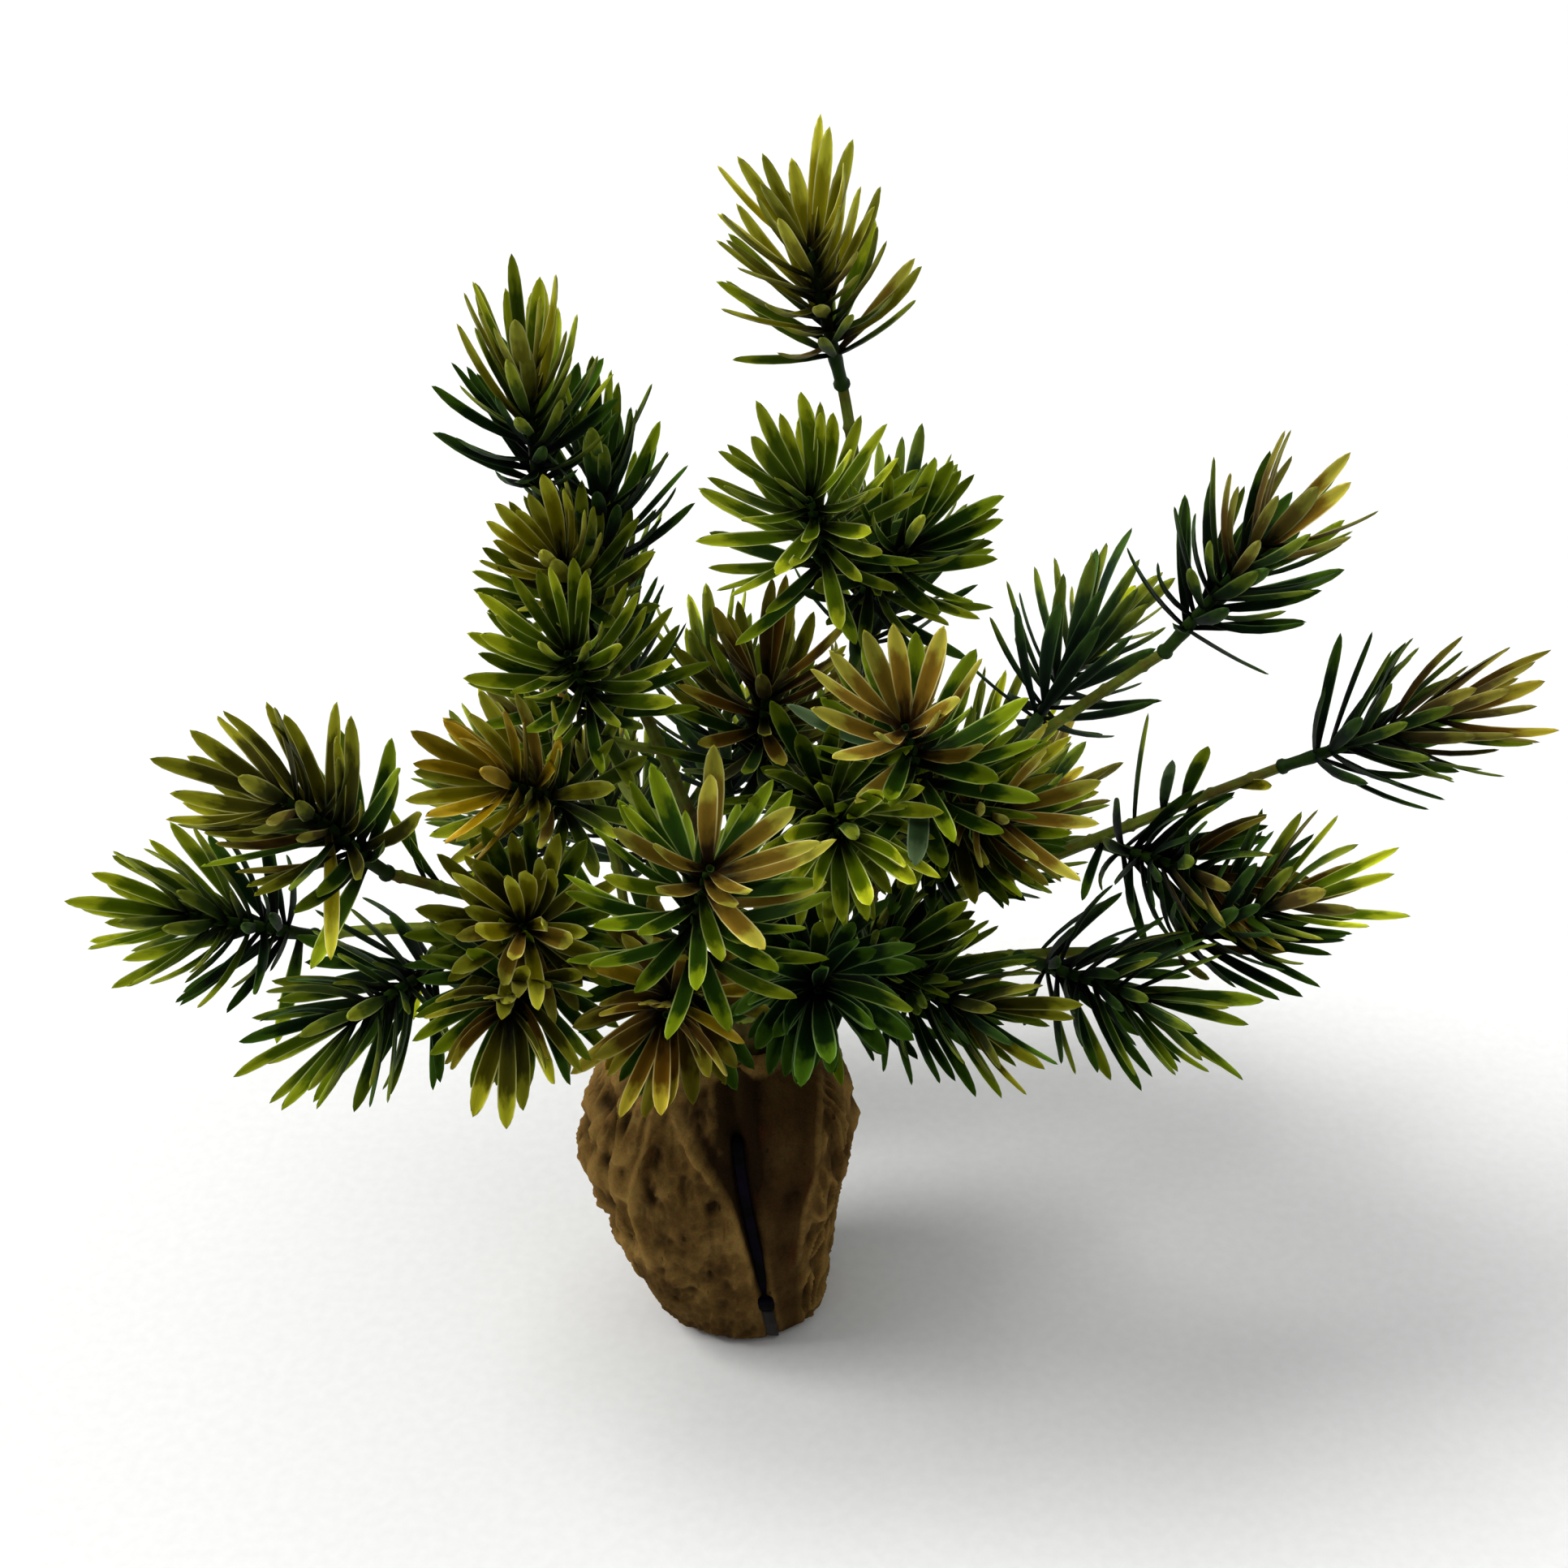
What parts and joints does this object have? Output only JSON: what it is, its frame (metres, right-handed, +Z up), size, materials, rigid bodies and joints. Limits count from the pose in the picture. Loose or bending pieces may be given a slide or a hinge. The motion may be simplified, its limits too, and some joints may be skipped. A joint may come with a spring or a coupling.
{
  "type": "artificial podocarpus on a stone-look base",
  "caption": "Artificial podocarpus for a terrarium: needle-leaved sprigs on curved stems that fan out from a short trunk in a brown stone-look base.",
  "frame": {"origin": "middle of the plant's foot on the flat underside of the stone-look base", "axes": "+Z up, -Y towards the plant's front, +X to its right as seen from the front"},
  "size_m": [0.4182, 0.3056, 0.4046],
  "materials": {
    "stone_resin": "cast resin with a sandstone look, brown with darker hollows",
    "stem_plastic": "ribbed moulded plastic, olive to brown, satin",
    "leaf_lime": "soft moulded plastic leaves, dark green at the root and lime at the tip",
    "leaf_green": "soft moulded plastic leaves, green with lighter tips",
    "leaf_dark": "soft moulded plastic leaves, dark green",
    "leaf_bronze": "soft moulded plastic leaves, olive at the root and tan to bronze towards the tip",
    "strip_plastic": "black glossy plastic",
    "tail_plastic": "grey smoky plastic"
  },
  "bodies": {
    "root": {"rock_base": "stone_resin", "trunk": "stem_plastic", "strip": "strip_plastic", "strip_clip": "strip_plastic", "strip_tail": "tail_plastic", "stem_top": "stem_plastic", "stem_upper_right": "stem_plastic", "stem_upper_left": "stem_plastic", "stem_front_right": "stem_plastic", "stem_left": "stem_plastic", "stem_right": "stem_plastic", "stem_back": "stem_plastic", "stem_front": "stem_plastic", "stem_lower_left": "stem_plastic", "stem_lower_right": "stem_plastic", "stem_back_left": "stem_plastic", "stem_back_right": "stem_plastic", "foliage_top_low": "leaf_bronze", "foliage_top_middle": "leaf_lime", "foliage_top_back": "leaf_green", "foliage_top_side": "leaf_lime", "foliage_top_front": "leaf_lime", "foliage_top_tip": "leaf_bronze", "foliage_upper_left_back": "leaf_dark", "foliage_upper_left_front": "leaf_lime", "foliage_upper_left_low": "leaf_lime", "foliage_upper_left_side": "leaf_green", "foliage_upper_left_tip": "leaf_lime", "foliage_left_side": "leaf_bronze", "foliage_left_front": "leaf_bronze", "foliage_left_tip": "leaf_green", "foliage_lower_left_front": "leaf_green", "foliage_lower_left_side": "leaf_lime", "foliage_lower_left_tip": "leaf_lime", "foliage_front_low_left": "leaf_bronze", "foliage_front_low_right": "leaf_dark", "foliage_front_tip": "leaf_bronze", "foliage_front_right_tip": "leaf_bronze", "foliage_upper_right_low": "leaf_dark", "foliage_upper_right_front": "leaf_bronze", "foliage_upper_right_side": "leaf_green", "foliage_upper_right_tip": "leaf_bronze", "foliage_right_side": "leaf_dark", "foliage_right_tip": "leaf_green", "foliage_lower_right_inner": "leaf_dark", "foliage_lower_right_front": "leaf_lime", "foliage_lower_right_side": "leaf_green", "foliage_lower_right_tip": "leaf_green", "foliage_back_left_up": "leaf_bronze", "foliage_back_left_side": "leaf_lime", "foliage_back_left_tip": "leaf_green", "foliage_back_up": "leaf_bronze", "foliage_back_side": "leaf_green", "foliage_back_tip": "leaf_lime", "foliage_back_right_up": "leaf_lime", "foliage_back_right_side": "leaf_dark", "foliage_back_right_tip": "leaf_green"}
  },
  "joints": []
}
